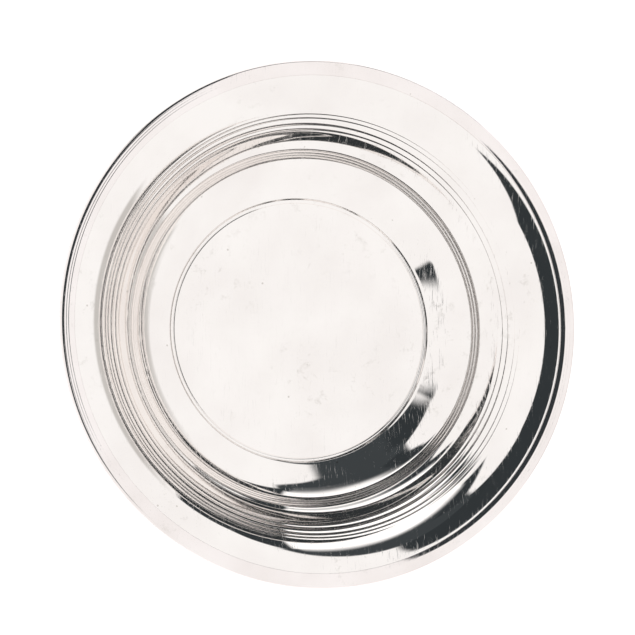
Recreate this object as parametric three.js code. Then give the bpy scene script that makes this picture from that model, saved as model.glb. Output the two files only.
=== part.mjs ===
// Wide-rimmed silver paten: a spun sheet dish, a reeded wire border soldered round
// its edge, and a low collet foot soldered under its flat middle.
// Millimetres, +Z up. The origin is the centre of the circle that the foot rests on.
import * as THREE from 'three';

// Driving dimensions
const DIAMETER = 254;
const HEIGHT = 48; // resting plane to the crest of the border
const GAUGE = 0.9; // thickness of the spun sheet
const SOLDER_GAP = 0.3; // clearance left for each soldered seam
const SEGMENTS = 64; // facets round the axis

// Foot ring
const FOOT_HEIGHT = 3.0;
const FOOT_NECK_R = 62.0; // inside of the neck, under the dish's seat step
const FOOT_WALL = 2.2;
const FOOT_SPREAD = 1.8; // how far the base stands out past the neck
const FOOT_LANDING = 3.2; // width of the base, with the flat that rests on the table
const FOOT_BEAD = 1.1; // height of the upright edge round the base
const FOOT_WAIST_Z = 2.0; // where the flare meets the neck
const FOOT_EASE = 0.4; // chamfers and the slight taper of the neck

// Upper face of the dish: where each turned zone ends, as radius and height
const FLOOR_R = 62.2;
const FLOOR_Z = FOOT_HEIGHT + SOLDER_GAP + GAUGE;
const SEAT = { r: 64.6, z: FLOOR_Z + 1.1 };
const WELL = { r: 83.6, z: 17.9 };
const LOWER_REEDS = { r: 87.2, z: 23.0 };
const BAND = { r: 91.6, z: 26.2 };
const UPPER_REEDS = { r: 96.2, z: 30.8 };
const STEPS = { r: 103.4, z: 38.0 };
const FLANGE = { r: 119.4, z: 47.0 };
const LIP_R = 125.8; // edge of the sheet, inside the border's hook

// Slopes of the swept walls, in degrees from level
const WELL_SLOPES = [36, 47];
const FLANGE_SLOPES = [46, 8];

// Mouldings
const REED_COUNT = 3;
const REED_BULGE = 0.35; // how far each reed stands out of the wall
const REED_FACETS = 3; // flats in each reed's half-round
const STEP_COUNT = 4;
const STEP_TREAD = 0.7; // share of each step that is tread, the rest is riser
const STEP_RISER = 0.6; // share of each step's height taken by its riser

// Border
const BORDER_INNER_R = 119.9;
const BORDER_REEDS = 3;
const BORDER_REED_FACETS = 2;
const BORDER_REED_DROP = 0.1; // how far the grooves between its reeds lie below its crest
const BORDER_HOOK = 0.9; // how far the border reaches below the sheet's edge
const BORDER_FILLET = { width: 2.1, edge: 0.15 }; // rise from its thin inner edge to the reeds
const BORDER_BROW = 1.0; // width left outside the last reed for the rounded edge
const BORDER_EASE = 0.4; // chamfers of its lower edge

const slope = (degrees) => Math.tan(THREE.MathUtils.degToRad(degrees));

// A smooth wall from one zone's end to the next, leaving and arriving at given slopes.
function sweptWall(start, end, slopes, pieces) {
  const run = end.r - start.r;
  const leave = slope(slopes[0]) * run;
  const arrive = slope(slopes[1]) * run;
  const points = [];
  for (let i = 1; i <= pieces; i += 1) {
    const t = i / pieces;
    const startShare = (1 + 2 * t) * (1 - t) ** 2;
    const endShare = t * t * (3 - 2 * t);
    const bend = t * (1 - t) ** 2 * leave - t * t * (1 - t) * arrive;
    points.push({ r: start.r + run * t, z: start.z * startShare + end.z * endShare + bend });
  }
  return points;
}

// Half-round reeds standing side by side along the straight line between two points.
function reededWall(start, end, count, bulge, facets) {
  const length = Math.hypot(end.r - start.r, end.z - start.z);
  const outward = { r: -(end.z - start.z) / length, z: (end.r - start.r) / length };
  const points = [];
  for (let i = 1; i <= count * facets; i += 1) {
    const t = i / (count * facets);
    const rise = bulge * Math.abs(Math.sin(Math.PI * t * count));
    points.push({
      r: start.r + (end.r - start.r) * t + outward.r * rise,
      z: start.z + (end.z - start.z) * t + outward.z * rise,
    });
  }
  return points;
}

// Shallow turned steps, each a gentle tread followed by a steeper riser.
function steppedWall(start, end, count) {
  const run = (end.r - start.r) / count;
  const climb = (end.z - start.z) / count;
  const points = [];
  for (let i = 0; i < count; i += 1) {
    const foot = { r: start.r + run * i, z: start.z + climb * i };
    points.push({ r: foot.r + run * STEP_TREAD, z: foot.z + climb * (1 - STEP_RISER) });
    points.push({ r: foot.r + run, z: foot.z + climb });
  }
  return points;
}

const FLOOR_EDGE = { r: FLOOR_R, z: FLOOR_Z };
const LIP = { r: LIP_R, z: FLANGE.z };

// Upper face of the sheet, from the axis out to the lip.
function upperFace() {
  return [
    { r: 0, z: FLOOR_Z },
    FLOOR_EDGE,
    SEAT,
    ...sweptWall(SEAT, WELL, WELL_SLOPES, 6),
    ...reededWall(WELL, LOWER_REEDS, REED_COUNT, REED_BULGE, REED_FACETS),
    BAND,
    ...reededWall(BAND, UPPER_REEDS, REED_COUNT, REED_BULGE, REED_FACETS),
    ...steppedWall(UPPER_REEDS, STEPS, STEP_COUNT),
    ...sweptWall(STEPS, FLANGE, FLANGE_SLOPES, 6),
    LIP,
  ];
}

// Under face of the sheet: the same path without its mouldings, one gauge below it.
function underFace() {
  const path = [
    { r: 0, z: FLOOR_Z },
    FLOOR_EDGE,
    SEAT,
    ...sweptWall(SEAT, WELL, WELL_SLOPES, 3),
    BAND,
    STEPS,
    ...sweptWall(STEPS, FLANGE, FLANGE_SLOPES, 4),
    LIP,
  ];
  const last = path.length - 1;
  const offset = path.map((point, i) => {
    const before = path[Math.max(i - 1, 0)];
    const after = path[Math.min(i + 1, last)];
    const length = Math.hypot(after.r - before.r, after.z - before.z);
    const outward = i === 0 ? 0 : (after.z - before.z) / length;
    const down = i === 0 ? 1 : (after.r - before.r) / length;
    return { r: point.r + outward * GAUGE, z: point.z - down * GAUGE };
  });
  return offset;
}

// A body turned about the axis from a section listed with its material on the left.
// A ring's section closes on itself, and a dish's starts and ends on the axis.
function turned(name, section, material) {
  const outline = section.map((point) => new THREE.Vector2(point.r, point.z));
  if (section[0].r > 0) {
    outline.push(outline[0].clone());
  }
  const geometry = new THREE.LatheGeometry(outline, SEGMENTS);
  geometry.rotateX(Math.PI / 2);
  const mesh = new THREE.Mesh(geometry, material);
  mesh.name = name;
  return mesh;
}

function silver(color, roughness) {
  return new THREE.MeshStandardMaterial({ color, roughness, metalness: 1 });
}

function dishBody() {
  const section = [...underFace(), ...upperFace().reverse()];
  return turned('dish_body', section, silver(0xe9e6e2, 0.08));
}

// The border sits on the lip and hooks down over the sheet's edge.
function rimBorder() {
  const radius = DIAMETER / 2;
  const seatZ = LIP.z + SOLDER_GAP;
  const hookR = LIP_R + SOLDER_GAP;
  const bottom = LIP.z - GAUGE - BORDER_HOOK;
  const grooveZ = HEIGHT - BORDER_REED_DROP;
  const shoulder = { r: BORDER_INNER_R + BORDER_FILLET.width, z: grooveZ };
  const brow = { r: radius - BORDER_BROW, z: grooveZ };
  const reeds = reededWall(shoulder, brow, BORDER_REEDS, BORDER_REED_DROP, BORDER_REED_FACETS);
  const section = [
    { r: hookR, z: bottom + BORDER_EASE },
    { r: radius - BORDER_EASE, z: bottom },
    { r: radius, z: bottom + BORDER_EASE },
    { r: radius, z: grooveZ - BORDER_BROW },
    ...reeds.reverse(),
    shoulder,
    { r: BORDER_INNER_R, z: seatZ + BORDER_FILLET.edge },
    { r: BORDER_INNER_R, z: seatZ },
    { r: hookR, z: seatZ },
  ];
  return turned('rim_border', section, silver(0xe6e1de, 0.12));
}

// The foot's wall flares from a neck under the seat step to a flat landing.
function footRing() {
  const neckOuter = FOOT_NECK_R + FOOT_WALL;
  const outer = neckOuter + FOOT_SPREAD;
  const section = [
    { r: outer - FOOT_LANDING, z: 0 },
    { r: outer - FOOT_EASE, z: 0 },
    { r: outer, z: FOOT_EASE },
    { r: outer, z: FOOT_BEAD },
    { r: neckOuter + FOOT_EASE, z: FOOT_WAIST_Z },
    { r: neckOuter, z: FOOT_HEIGHT },
    { r: FOOT_NECK_R, z: FOOT_HEIGHT },
    { r: FOOT_NECK_R + FOOT_EASE, z: FOOT_BEAD },
  ];
  return turned('foot_ring', section, silver(0xdedbd7, 0.18));
}

const paten = new THREE.Group();
paten.add(dishBody(), rimBorder(), footRing());

export default paten;
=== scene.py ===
"""Wide-rimmed silver paten lying on a white table in a white studio.

The dish, its reeded border and its foot ring are each turned from a section, as a spinner
and a wire drawer would leave them, and each replaces the plain CAD solid of the same name.
Sections are worked out in millimetres as (radius, height) and built in metres.
"""

import math

import bpy
from mathutils import Matrix, Vector


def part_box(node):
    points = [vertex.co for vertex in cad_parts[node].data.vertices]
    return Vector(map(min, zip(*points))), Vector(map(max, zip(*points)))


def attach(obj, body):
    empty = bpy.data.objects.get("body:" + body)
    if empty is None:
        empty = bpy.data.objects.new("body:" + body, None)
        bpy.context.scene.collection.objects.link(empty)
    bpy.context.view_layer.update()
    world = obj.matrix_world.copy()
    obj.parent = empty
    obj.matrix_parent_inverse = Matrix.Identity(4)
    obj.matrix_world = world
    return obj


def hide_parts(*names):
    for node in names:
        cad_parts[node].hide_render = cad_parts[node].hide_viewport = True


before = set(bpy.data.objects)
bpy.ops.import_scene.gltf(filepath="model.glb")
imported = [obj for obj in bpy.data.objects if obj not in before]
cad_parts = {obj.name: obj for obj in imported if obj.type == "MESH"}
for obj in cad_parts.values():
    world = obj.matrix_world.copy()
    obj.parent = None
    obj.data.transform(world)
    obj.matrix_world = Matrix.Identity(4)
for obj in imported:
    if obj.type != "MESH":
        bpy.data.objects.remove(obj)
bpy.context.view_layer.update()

MM = 0.001
TURN_STEPS = 256  # facets round the axis
MERGE_GAP = 0.001 * MM

# ---------------------------------------------------------------- sizes from the frame
dish_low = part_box("dish_body")[0]
border_low, border_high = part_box("rim_border")
foot_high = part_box("foot_ring")[1]

RIM_R = border_high.x / MM
RIM_Z = border_high.z / MM
BORDER_BOTTOM = border_low.z / MM
FOOT_R = foot_high.x / MM
FOOT_TOP = foot_high.z / MM
GAUGE = 0.9  # thickness of the spun sheet
FLOOR_Z = dish_low.z / MM + GAUGE

# Upper face of the dish: the radii where its turned zones end, and the heights that fix them
FLOOR_R = 62.2
SEAT = (64.6, FLOOR_Z + 1.1)
SEAT_GROOVE = 0.28  # depth of the turned line round the flat middle
WELL_R = 83.6
REEDS = (87.2, 21.8)
COVE_R = 95.3
STEPS = (103.4, 38.0)
FLANGE = (119.4, 47.0)
LIP_R = 125.6

# Slopes in degrees from level. The well and the cove have theirs at shares of their width,
# and the flange one where it starts and one where it ends
WELL_SLOPES = ((0.0, 32), (0.06, 26.4), (0.42, 26.2), (0.7, 33), (0.88, 37.5), (1.0, 47))
COVE_SLOPES = ((0.0, 38), (0.12, 35), (0.35, 42), (0.5, 48), (0.8, 50), (1.0, 45))
FLANGE_SLOPES = (46, 8)

# Grooves between the reeds of the two mouldings, as radii
LOWER_GROOVES = (83.6, 84.6, 85.6, 87.2)
UPPER_GROOVES = (95.3, 97.3, 100.2, 102.0, 103.4)
REED_ROUND = 0.045  # how far each reed stands out, as a share of its width
STEP_ROUND = 0.037  # the same for the finer upper mouldings
REED_FACETS = 10

# Border wire
BORDER_INNER_R = 119.9
BORDER_GROOVES = (122.0, 123.2, 124.3, 125.4)
FILLET_SLOPES = (18, 9)  # of the hollow between the inner edge and the first reed
BROW_DROP = 1.2  # the outer edge rolls over in a quarter of an ellipse
BROW_FACETS = 12
SOLDER_SEAM = 0.15

# Foot ring
FOOT_NECK = (62.0, 64.2)  # inner and outer radius of its wall where it meets the dish
FOOT_LANDING = 3.2  # width of the band it stands on

# ---------------------------------------------------------------- sections


def slope(degrees):
    return math.tan(math.radians(degrees))


def gauged_wall(start, end_r, stations, pieces):
    """A wall that rises from its start with the slopes of its stations."""
    run = (end_r - start[0]) / pieces
    points = [start]
    for i in range(pieces):
        share = (i + 0.5) / pieces
        for (share_a, a), (share_b, b) in zip(stations, stations[1:]):
            if share <= share_b:
                t = (share - share_a) / (share_b - share_a)
                angle = a + (b - a) * t * t * (3 - 2 * t)
                break
        points.append((points[-1][0] + run, points[-1][1] + run * slope(angle)))
    return points[1:]


def swept_wall(start, end, slopes, pieces):
    """A smooth wall that leaves and arrives at the given slopes."""
    run = end[0] - start[0]
    leave, arrive = slope(slopes[0]) * run, slope(slopes[1]) * run
    points = []
    for i in range(1, pieces + 1):
        t = i / pieces
        start_share = (1 + 2 * t) * (1 - t) ** 2
        end_share = t * t * (3 - 2 * t)
        bend = t * (1 - t) ** 2 * leave - t * t * (1 - t) * arrive
        points.append((start[0] + run * t, start[1] * start_share + end[1] * end_share + bend))
    return points


def reeded_wall(start, end, grooves, stand):
    """Half-round reeds side by side along the line between two points, parted at the grooves."""
    dr, dz = end[0] - start[0], end[1] - start[1]
    length = math.hypot(dr, dz)
    points = []
    for inner, outer in zip(grooves, grooves[1:]):
        width = (outer - inner) / (end[0] - start[0]) * length
        for i in range(1, REED_FACETS + 1):
            r = inner + (outer - inner) * i / REED_FACETS
            t = (r - start[0]) / dr
            rise = stand * width * math.sin(math.pi * i / REED_FACETS) / length
            points.append((start[0] + dr * t - dz * rise, start[1] + dz * t + dr * rise))
    return points


def line(start, end, pieces):
    """Points along a straight stretch, without its start."""
    return [
        (
            start[0] + (end[0] - start[0]) * i / pieces,
            start[1] + (end[1] - start[1]) * i / pieces,
        )
        for i in range(1, pieces + 1)
    ]


# ---------------------------------------------------------------- turning


def turn(name, section):
    """Draws the section point by point, then spins it round the axis into a closed skin."""
    bpy.ops.object.select_all(action="DESELECT")
    bpy.ops.mesh.primitive_plane_add(size=MM, location=(section[0][0] * MM, 0, section[0][1] * MM))
    piece = bpy.context.object
    piece.name = name
    bpy.ops.object.mode_set(mode="EDIT")
    bpy.ops.mesh.select_mode(type="VERT")
    bpy.ops.mesh.merge(type="CENTER")
    for before, after in zip(section, section[1:]):
        step = ((after[0] - before[0]) * MM, 0, (after[1] - before[1]) * MM)
        bpy.ops.mesh.extrude_region_move(TRANSFORM_OT_translate={"value": step})
    bpy.ops.object.mode_set(mode="OBJECT")
    bpy.ops.object.transform_apply(location=True, rotation=True, scale=True)
    bpy.ops.object.mode_set(mode="EDIT")
    bpy.ops.mesh.select_all(action="SELECT")
    bpy.ops.mesh.spin(
        steps=TURN_STEPS, angle=math.tau, center=(0, 0, 0), axis=(0, 0, 1), use_auto_merge=True
    )
    bpy.ops.mesh.select_all(action="SELECT")
    bpy.ops.mesh.remove_doubles(threshold=MERGE_GAP)
    bpy.ops.mesh.select_all(action="SELECT")
    bpy.ops.mesh.normals_make_consistent(inside=False)
    bpy.ops.object.mode_set(mode="OBJECT")
    bpy.ops.object.shade_smooth()
    piece.data.name = name
    return piece


def finish_piece(piece, node, material):
    """Puts a turned piece in the place of its CAD node, with its finish."""
    piece.data.materials.clear()
    piece.data.materials.append(material)
    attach(piece, "root")
    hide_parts(node)


# ---------------------------------------------------------------- dish


def seat_line():
    """A turned groove round the flat middle, a narrow ledge, and the little step up to the well."""
    groove_z = FLOOR_Z - SEAT_GROOVE
    ledge_z = FLOOR_Z + 0.1
    ledge_end = (SEAT[0] - 0.8, ledge_z + 0.02)
    return [
        (FLOOR_R, FLOOR_Z),
        (FLOOR_R + 0.06, FLOOR_Z - SEAT_GROOVE * 0.3),
        (FLOOR_R + 0.25, groove_z),
        (FLOOR_R + 0.45, groove_z),
        (FLOOR_R + 0.7, ledge_z - 0.05),
        (FLOOR_R + 0.8, ledge_z),
        *line((FLOOR_R + 0.8, ledge_z), ledge_end, 3),
        *line(ledge_end, SEAT, 5),
    ]


def well_wall(pieces):
    return gauged_wall(SEAT, WELL_R, WELL_SLOPES, pieces)


def cove_wall(pieces):
    return gauged_wall(REEDS, COVE_R, COVE_SLOPES, pieces)


def upper_face():
    """Upper face of the sheet, from the axis out to its lip."""
    floor_edge = FLOOR_R - 0.1
    well, cove = well_wall(72), cove_wall(32)
    return [
        (0, FLOOR_Z),
        *line((0, FLOOR_Z), (floor_edge, FLOOR_Z), 16),
        *seat_line(),
        *well,
        *reeded_wall(well[-1], REEDS, LOWER_GROOVES, REED_ROUND),
        *cove,
        *reeded_wall(cove[-1], STEPS, UPPER_GROOVES, STEP_ROUND),
        *swept_wall(STEPS, FLANGE, FLANGE_SLOPES, 56),
        *line(FLANGE, (LIP_R, FLANGE[1]), 4),
    ]


def under_face():
    """Under face: the same path without its mouldings, one gauge below it, from lip to axis."""
    well, cove = well_wall(30), cove_wall(12)
    path = [
        (0, FLOOR_Z),
        *line((0, FLOOR_Z), (FLOOR_R, FLOOR_Z), 8),
        SEAT,
        *well,
        *line(well[-1], REEDS, 4),
        *cove,
        *line(cove[-1], STEPS, 6),
        *swept_wall(STEPS, FLANGE, FLANGE_SLOPES, 30),
        (LIP_R, FLANGE[1]),
    ]
    offset = [(0, FLOOR_Z - GAUGE)]
    for i in range(1, len(path)):
        before, after = path[i - 1], path[min(i + 1, len(path) - 1)]
        length = math.hypot(after[0] - before[0], after[1] - before[1])
        outward, down = (after[1] - before[1]) / length, (after[0] - before[0]) / length
        offset.append((path[i][0] + outward * GAUGE, path[i][1] - down * GAUGE))
    return offset[::-1]


def spin_dish():
    return turn("spun_dish", [*upper_face(), *under_face()])


# ---------------------------------------------------------------- border


def wire_border():
    """The reeded wire: a thin inner edge, a fillet, three shallow reeds, a rolled brow and a hook."""
    seat_z = FLANGE[1] + SOLDER_SEAM
    hook_r = LIP_R + SOLDER_SEAM
    inner_edge = (BORDER_INNER_R + 0.2, seat_z + 0.32)
    reed_width = (BORDER_GROOVES[-1] - BORDER_GROOVES[0]) / (len(BORDER_GROOVES) - 1)
    groove_z = RIM_Z - REED_ROUND * (reed_width + 0.1)
    shoulder = (BORDER_GROOVES[0], groove_z)
    brow = (BORDER_GROOVES[-1], groove_z)
    section = [
        (hook_r, seat_z),
        (BORDER_INNER_R, seat_z),
        (BORDER_INNER_R + 0.05, seat_z + 0.25),
        inner_edge,
        *swept_wall(inner_edge, shoulder, FILLET_SLOPES, 8),
        *reeded_wall(shoulder, brow, BORDER_GROOVES, REED_ROUND),
    ]
    for i in range(1, BROW_FACETS + 1):
        angle = math.pi / 2 * i / BROW_FACETS
        r = brow[0] + (RIM_R - brow[0]) * math.sin(angle)
        z = groove_z - BROW_DROP * (1 - math.cos(angle))
        section.append((r, z))
    section += [
        (RIM_R, BORDER_BOTTOM + 0.4),
        (RIM_R - 0.12, BORDER_BOTTOM + 0.12),
        (RIM_R - 0.4, BORDER_BOTTOM),
        (hook_r + 0.2, BORDER_BOTTOM),
        (hook_r, BORDER_BOTTOM + 0.4),
        (hook_r, seat_z),
    ]
    return turn("reeded_border_wire", section)


# ---------------------------------------------------------------- foot


def foot_collar():
    """A short upright neck under the dish that spreads to the band it stands on."""
    neck_in, neck_out = FOOT_NECK
    section = [
        (FOOT_R - FOOT_LANDING, 0),
        (FOOT_R - 0.4, 0),
        (FOOT_R - 0.12, 0.12),
        (FOOT_R, 0.4),
        (FOOT_R, 1.1),
        (neck_out + 0.6, 1.6),
        (neck_out + 0.2, 2.2),
        (neck_out, FOOT_TOP),
        (neck_in, FOOT_TOP),
        (neck_in + 0.4, 1.1),
        (FOOT_R - FOOT_LANDING, 0),
    ]
    return turn("collet_foot", section)


# ---------------------------------------------------------------- materials


def linear(hex_colour):
    """An sRGB hex value as linear RGBA."""
    channels = [int(hex_colour[i : i + 2], 16) / 255 for i in (0, 2, 4)]
    return (
        *(c / 12.92 if c <= 0.04045 else ((c + 0.055) / 1.055) ** 2.4 for c in channels),
        1.0,
    )


def add_node(tree, kind, inputs=None, **settings):
    """Adds a node: settings go on the node itself, inputs on its sockets as values or links."""
    node = tree.nodes.new(kind)
    for name, value in settings.items():
        setattr(node, name, value)
    for socket, value in (inputs or {}).items():
        if isinstance(value, bpy.types.NodeSocket):
            tree.links.new(value, node.inputs[socket])
        else:
            node.inputs[socket].default_value = value
    return node


def new_material(name):
    material = bpy.data.materials.new(name)
    material.use_nodes = True
    material.node_tree.nodes.clear()
    return material, material.node_tree


# Sizes of the marks on the silver
CLOUD = 30 * MM  # a faint cloud of tarnish
SCRATCH_GAP = 0.4 * MM
SCRATCH_LAYERS = ((15, 14), (58, 9), (97, 17), (141, 11))  # turn in degrees, stretch in mm
SMEAR = 6 * MM  # a finger mark or a trace of dried polish
SMEAR_GROUP = 45 * MM  # the areas where smears gather
SPECK_CELL = 8 * MM  # holds one speck at most
SPECK_SHARE = 0.72  # the higher, the fewer cells hold a speck
SPECK_TONE = linear("C9C4BC")
LATHE_GAP = 0.8 * MM
WAVE = 22 * MM
WAVE_DEPTH = 0.05 * MM
SCRATCH_DEPTH = 0.003 * MM


def wiped_silver(name, light, shade, polish, scratched, smudged, line_depth):
    """Sterling silver with the marks of its making and use.

    light and shade are its tones where bright and where slightly tarnished, polish its
    roughness where clean, scratched and smudged how much rougher wiping scratches and
    finger marks are, and line_depth the depth in metres of the fine lathe lines.
    """
    material, tree = new_material(name)
    place = add_node(tree, "ShaderNodeTexCoord").outputs["Object"]

    # Faint clouds of tarnish
    clouds = add_node(
        tree, "ShaderNodeTexNoise", {"Vector": place, "Scale": 1 / CLOUD, "Detail": 3.0}
    ).outputs["Fac"]
    cloud_share = add_node(
        tree, "ShaderNodeMapRange", {"Value": clouds, "From Min": 0.35, "From Max": 0.7}
    ).outputs["Result"]
    tone = add_node(
        tree, "ShaderNodeMix", {0: cloud_share, 6: linear(light), 7: linear(shade)}, data_type="RGBA"
    ).outputs[2]

    # Hairline scratches from wiping. Real ones are 0.02 mm wide and are drawn some 0.2 mm
    # wide so that they show. All run along Y: a layer's turn only gives it its own pattern
    scratches = 0.0
    for angle, length in SCRATCH_LAYERS:
        laid = add_node(
            tree,
            "ShaderNodeMapping",
            {
                "Vector": place,
                "Rotation": (0.0, 0.0, math.radians(angle)),
                "Scale": (1 / SCRATCH_GAP, 1 / (length * MM), 1 / (length * MM)),
            },
        ).outputs["Vector"]
        streaks = add_node(
            tree, "ShaderNodeTexNoise", {"Vector": laid, "Scale": 1.0, "Detail": 2.0}
        ).outputs["Fac"]
        lines = add_node(
            tree, "ShaderNodeMapRange", {"Value": streaks, "From Min": 0.66, "From Max": 0.76}
        ).outputs["Result"]
        scratches = add_node(
            tree, "ShaderNodeMath", {0: scratches, 1: lines}, operation="MAXIMUM"
        ).outputs[0]

    # Finger marks and dried polish, gathered here and there
    smears = add_node(
        tree,
        "ShaderNodeTexNoise",
        {"Vector": place, "Scale": 1 / SMEAR, "Detail": 6.0, "Roughness": 0.65},
    ).outputs["Fac"]
    smear_spots = add_node(
        tree, "ShaderNodeMapRange", {"Value": smears, "From Min": 0.58, "From Max": 0.72}
    ).outputs["Result"]
    where = add_node(
        tree, "ShaderNodeTexNoise", {"Vector": place, "Scale": 1 / SMEAR_GROUP, "Detail": 1.0}
    ).outputs["Fac"]
    gathered = add_node(
        tree, "ShaderNodeMapRange", {"Value": where, "From Min": 0.48, "From Max": 0.62}
    ).outputs["Result"]
    smudges = add_node(
        tree, "ShaderNodeMath", {0: smear_spots, 1: gathered}, operation="MULTIPLY"
    ).outputs[0]

    # Pits and specks of tarnish, about 1 mm across with their soft edge, in a few cells
    cells = add_node(tree, "ShaderNodeTexVoronoi", {"Vector": place, "Scale": 1 / SPECK_CELL})
    near = add_node(
        tree,
        "ShaderNodeMapRange",
        {"Value": cells.outputs["Distance"], "From Min": 0.075, "From Max": 0.035},
    ).outputs["Result"]
    chosen = add_node(
        tree, "ShaderNodeMath", {0: cells.outputs["Color"], 1: SPECK_SHARE}, operation="GREATER_THAN"
    ).outputs[0]
    specks = add_node(
        tree, "ShaderNodeMath", {0: near, 1: chosen}, operation="MULTIPLY"
    ).outputs[0]
    marks = add_node(
        tree, "ShaderNodeMath", {0: smudges, 1: 0.35, 2: specks}, operation="MULTIPLY_ADD"
    ).outputs[0]
    dulled = add_node(
        tree, "ShaderNodeMath", {0: marks, 1: 0.75}, operation="MINIMUM"
    ).outputs[0]
    colour = add_node(
        tree, "ShaderNodeMix", {0: dulled, 6: tone, 7: SPECK_TONE}, data_type="RGBA"
    ).outputs[2]

    # Scratches and smudges scatter what the clean metal mirrors
    roughness = add_node(
        tree, "ShaderNodeMath", {0: scratches, 1: scratched, 2: polish}, operation="MULTIPLY_ADD"
    ).outputs[0]
    roughness = add_node(
        tree, "ShaderNodeMath", {0: smudges, 1: smudged, 2: roughness}, operation="MULTIPLY_ADD"
    ).outputs[0]

    # Lathe lines round the axis, drawn coarser than real ones so that they show, and the
    # long soft waves left by hand polishing
    flat_place = add_node(
        tree, "ShaderNodeVectorMath", {0: place, 1: (1.0, 1.0, 0.0)}, operation="MULTIPLY"
    ).outputs["Vector"]
    radius = add_node(
        tree, "ShaderNodeVectorMath", {0: flat_place}, operation="LENGTH"
    ).outputs["Value"]
    lathe = add_node(
        tree,
        "ShaderNodeTexNoise",
        {"W": radius, "Scale": 1 / LATHE_GAP, "Detail": 1.0},
        noise_dimensions="1D",
    ).outputs["Fac"]
    lathe_bump = add_node(
        tree, "ShaderNodeBump", {"Height": lathe, "Strength": 1.0, "Distance": line_depth}
    ).outputs["Normal"]
    waves = add_node(
        tree, "ShaderNodeTexNoise", {"Vector": place, "Scale": 1 / WAVE, "Detail": 1.0}
    ).outputs["Fac"]
    wave_bump = add_node(
        tree,
        "ShaderNodeBump",
        {"Height": waves, "Strength": 1.0, "Distance": WAVE_DEPTH, "Normal": lathe_bump},
    ).outputs["Normal"]
    scratch_bump = add_node(
        tree,
        "ShaderNodeBump",
        {"Height": scratches, "Strength": 1.0, "Distance": -SCRATCH_DEPTH, "Normal": wave_bump},
    ).outputs["Normal"]

    shader = add_node(
        tree,
        "ShaderNodeBsdfPrincipled",
        {"Base Color": colour, "Metallic": 1.0, "Roughness": roughness, "Normal": scratch_bump},
    )
    add_node(tree, "ShaderNodeOutputMaterial", {"Surface": shader.outputs["BSDF"]})
    return material


def hand_polished_silver():
    """Spun sheet buffed to a mirror: sharp reflections, broken by fine wiping scratches."""
    return wiped_silver("hand_polished_sterling", "FAF6F3", "F4EFEC", 0.035, 0.22, 0.12, 0.0004 * MM)


def drawn_wire_silver():
    """Wire drawn through a reeded plate: bright, a little pinker, lined along its length."""
    return wiped_silver("drawn_sterling_wire", "F9F3F1", "F0E9E6", 0.06, 0.15, 0.1, 0.0012 * MM)


def worn_silver():
    """The foot where it stands: the same silver rubbed to a satin that blurs reflections."""
    return wiped_silver("satin_worn_sterling", "F0ECE8", "DCD6D0", 0.2, 0.25, 0.1, 0.002 * MM)


# ---------------------------------------------------------------- studio

CAMERA_TILT = (-0.2380, -0.0829, 0.9677)  # from the rim's centre to the lens
CAMERA_DISTANCE = 2.6
CAMERA_LENS = 307.5  # focal length in mm on the sensor below
CAMERA_SENSOR = 36
CAMERA_CLIP = (0.1, 50)
AIM_OFFSET = (-0.0015, 0.00274)  # right and up from the rim's centre, in metres

TABLE_SIZE = 20
TABLE_PAPER = (0.4, 0.4, 0.4, 1)
TABLE_GLOW = 0.78  # light of its own, so that it stays pale under the dish
PURE_WHITE = (1.0, 1.0, 1.0, 1.0)

# The room as the dish sees it: corners in degrees off the dish's axis, anticlockwise
DARK = linear("33383B")
GLOOM = linear("3F4447")
SHADE = linear("CDCBC8")
WHITE = (1.005, 1.0, 0.998, 1.0)
BRIGHT = (1.25, 1.25, 1.25, 1.0)
# Each patch: its corners, its colour, and how soft each edge is, as the sine of half its width
PATCHES = (
    (((70, -32), (110, -32), (110, 45), (62, 50)), SHADE, (0.05, 0.1, 0.1, 0.06)),
    (((-33.7, -19.8), (-5.7, -16.6), (6.4, 21), (4.7, 28), (-32, 28)), DARK, (0.015,) * 5),
    (((-32.5, 20), (6.4, 21), (-1.1, 52), (-22.5, 51)), DARK, (0.015,) * 4),
    (((-22, 44), (-0.5, 45), (28.6, 65.7), (24, 72), (-38, 69)), GLOOM, (0.02,) * 5),
    (((-49, 57), (-22.9, 53), (-16, 60), (-38.9, 68)), DARK, (0.02,) * 4),
    (((24, 66.9), (46.5, 66), (50, 78), (34.3, 85)), DARK, (0.015,) * 4),
    (((45.5, 66), (59, 55), (69.7, 65.7), (49, 78)), DARK, (0.015,) * 4),
    (
        ((-38.9, 67), (-11.4, 68), (24, 71), (34.3, 85), (34, 108), (-45, 108)),
        BRIGHT,
        (0.08, 0.1, 0.015, 0.02, 0.02, 0.02),
    ),
)


def towards(x, y):
    """The direction x degrees right and y degrees up from the dish's axis."""
    away = math.radians(math.hypot(x, y))
    turn_to = math.atan2(y, x)
    return Vector(
        (math.sin(away) * math.cos(turn_to), math.sin(away) * math.sin(turn_to), math.cos(away))
    )


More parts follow.
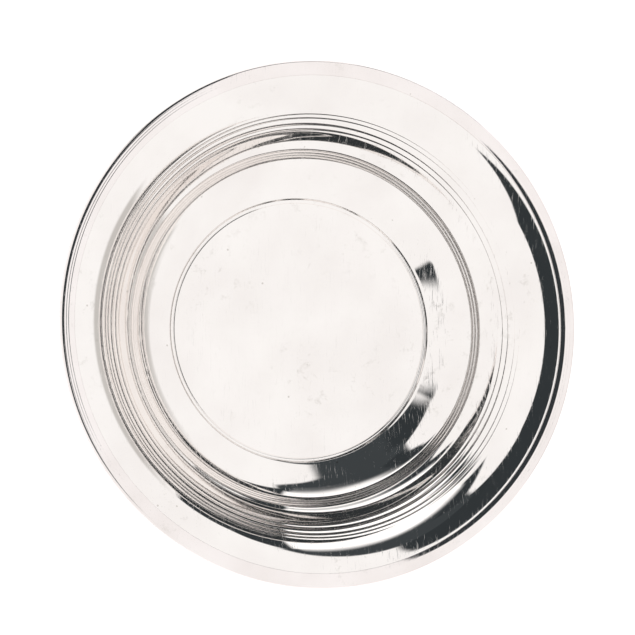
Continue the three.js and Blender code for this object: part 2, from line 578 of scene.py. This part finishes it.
def studio_room():
    """A white room with dark and bright patches for the silver to mirror, plain to the lens."""
    world = bpy.data.worlds.new("white_studio")
    bpy.context.scene.world = world
    world.use_nodes = True
    tree = world.node_tree
    tree.nodes.clear()
    direction = add_node(tree, "ShaderNodeTexCoord").outputs["Generated"]
    colour = WHITE
    for corners, patch_colour, edges in PATCHES:
        mask = 1.0
        for corner, following, softness in zip(corners, corners[1:] + corners[:1], edges):
            inward = towards(*corner).cross(towards(*following)).normalized()
            side = add_node(
                tree, "ShaderNodeVectorMath", {0: direction, 1: inward}, operation="DOT_PRODUCT"
            ).outputs["Value"]
            edge = add_node(
                tree,
                "ShaderNodeMapRange",
                {"Value": side, "From Min": -softness, "From Max": softness},
                interpolation_type="SMOOTHSTEP",
            ).outputs["Result"]
            mask = add_node(
                tree, "ShaderNodeMath", {0: mask, 1: edge}, operation="MULTIPLY"
            ).outputs[0]
        colour = add_node(
            tree, "ShaderNodeMix", {0: mask, 6: colour, 7: patch_colour}, data_type="RGBA"
        ).outputs[2]
    seen = add_node(tree, "ShaderNodeLightPath").outputs["Is Camera Ray"]
    shown = add_node(
        tree, "ShaderNodeMix", {0: seen, 6: colour, 7: PURE_WHITE}, data_type="RGBA"
    ).outputs[2]
    background = add_node(tree, "ShaderNodeBackground", {"Color": shown, "Strength": 1.0})
    add_node(tree, "ShaderNodeOutputWorld", {"Surface": background.outputs["Background"]})


def table_top():
    """A matt white table that is clear from below, so that the underside can be seen."""
    bpy.ops.object.select_all(action="DESELECT")
    bpy.ops.mesh.primitive_plane_add(size=TABLE_SIZE, location=(0, 0, 0))
    table = bpy.context.object
    table.name = "table_top"
    material, tree = new_material("matt_white_table")
    paper = add_node(tree, "ShaderNodeBsdfDiffuse", {"Color": TABLE_PAPER})
    glow = add_node(tree, "ShaderNodeEmission", {"Color": PURE_WHITE, "Strength": TABLE_GLOW})
    both = add_node(tree, "ShaderNodeAddShader", {0: paper.outputs[0], 1: glow.outputs[0]})
    clear = add_node(tree, "ShaderNodeBsdfTransparent")
    under = add_node(tree, "ShaderNodeNewGeometry").outputs["Backfacing"]
    sided = add_node(
        tree, "ShaderNodeMixShader", {0: under, 1: both.outputs[0], 2: clear.outputs[0]}
    )
    add_node(tree, "ShaderNodeOutputMaterial", {"Surface": sided.outputs[0]})
    table.data.materials.append(material)


def camera():
    aim = Vector((0, 0, RIM_Z * MM))
    away = Vector(CAMERA_TILT).normalized()
    bpy.ops.object.camera_add(location=aim + away * CAMERA_DISTANCE)
    lens = bpy.context.object
    lens.name = "camera"
    right = Vector((0, 1, 0)).cross(away).normalized()
    up = away.cross(right)
    target = aim + right * AIM_OFFSET[0] + up * AIM_OFFSET[1]
    back = (lens.location - target).normalized()
    right = Vector((0, 1, 0)).cross(back).normalized()
    up = back.cross(right)
    lens.rotation_mode = "QUATERNION"
    lens.rotation_quaternion = Matrix((right, up, back)).transposed().to_quaternion()
    lens.data.sensor_width = CAMERA_SENSOR
    lens.data.lens = CAMERA_LENS
    lens.data.clip_start, lens.data.clip_end = CAMERA_CLIP
    bpy.context.scene.camera = lens


camera()
studio_room()
table_top()
bpy.context.scene.view_settings.view_transform = "Standard"

finish_piece(spin_dish(), "dish_body", hand_polished_silver())
finish_piece(wire_border(), "rim_border", drawn_wire_silver())
finish_piece(foot_collar(), "foot_ring", worn_silver())
